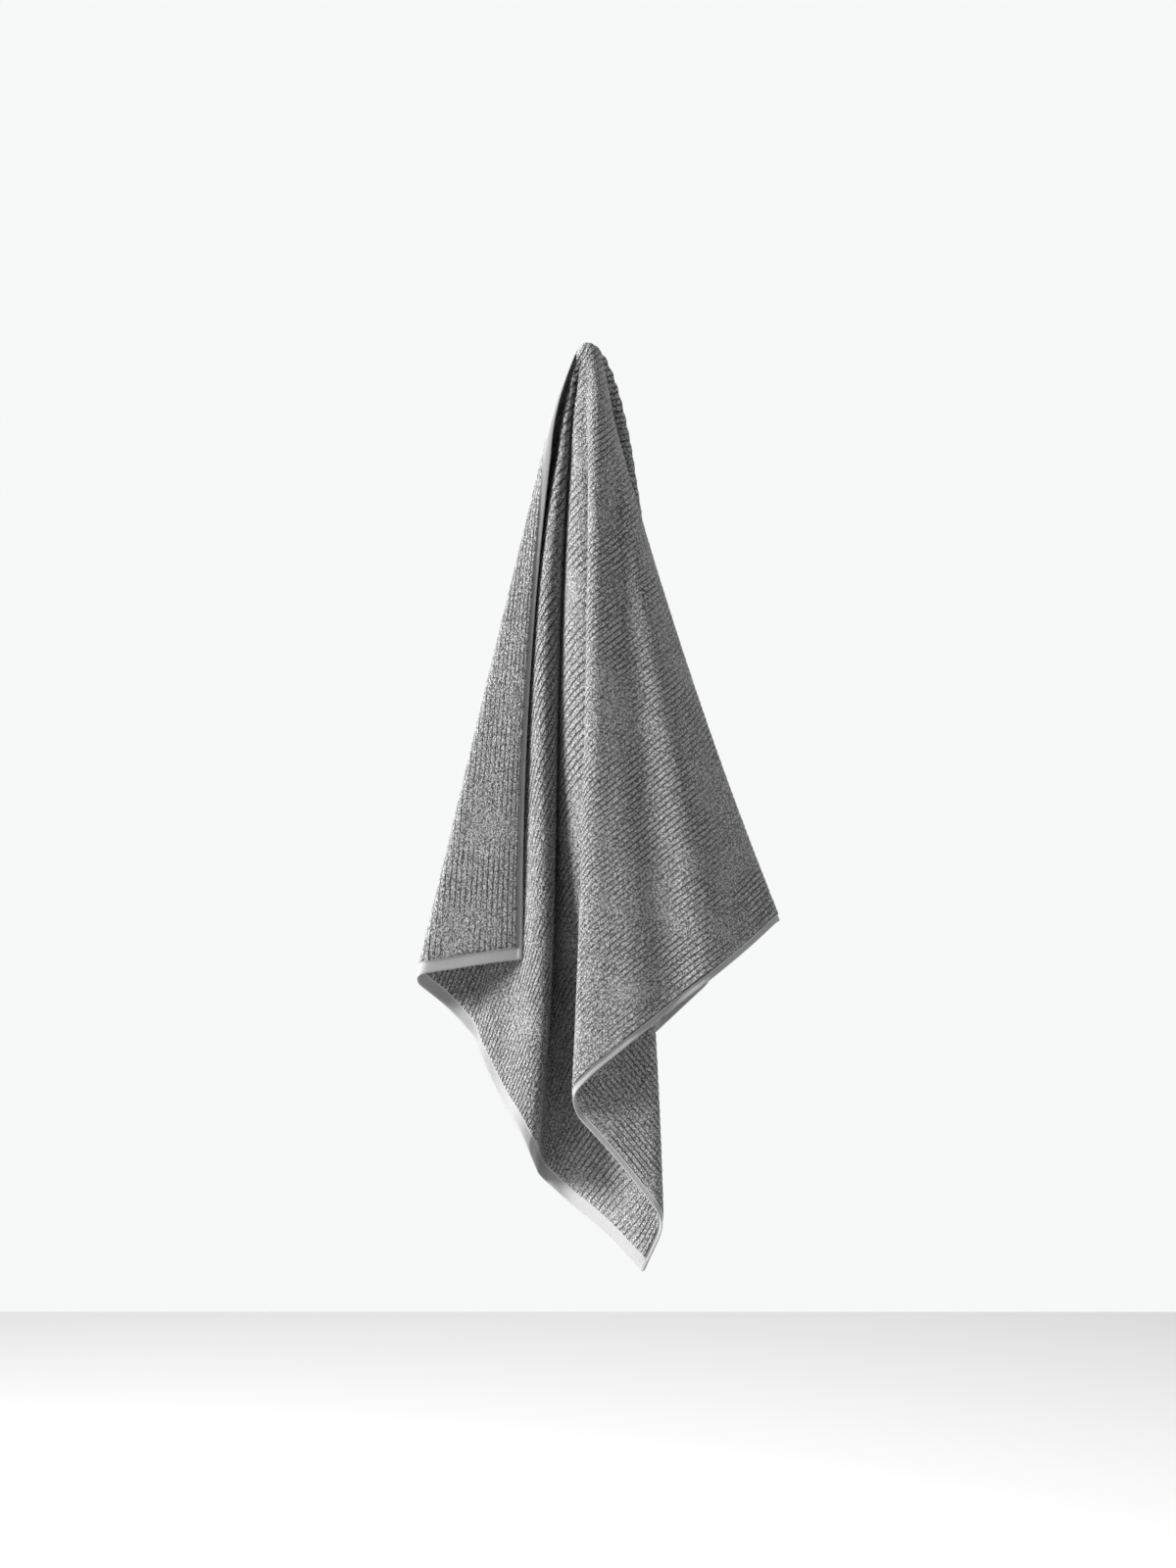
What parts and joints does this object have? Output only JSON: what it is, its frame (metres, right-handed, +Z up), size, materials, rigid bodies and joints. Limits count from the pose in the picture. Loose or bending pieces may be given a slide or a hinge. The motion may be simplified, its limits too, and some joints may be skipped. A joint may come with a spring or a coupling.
{
  "type": "hand towel",
  "caption": "Ribbed terry hand towel with plain woven hems, hung by one spot beside its long edge so that it falls in uneven folds.",
  "frame": {"origin": "the top of the towel, over the point it hangs from", "axes": "+Z up, -Y is the front that faces the room, +Y is the wall side, +X to the right seen from the front"},
  "size_m": [0.2754, 0.1297, 0.7024],
  "materials": {
    "terry": "matt ribbed cotton terry, mid grey, with smooth plain woven hems in the same yarn colour"
  },
  "bodies": {
    "root": {"towel": "terry"}
  },
  "joints": []
}
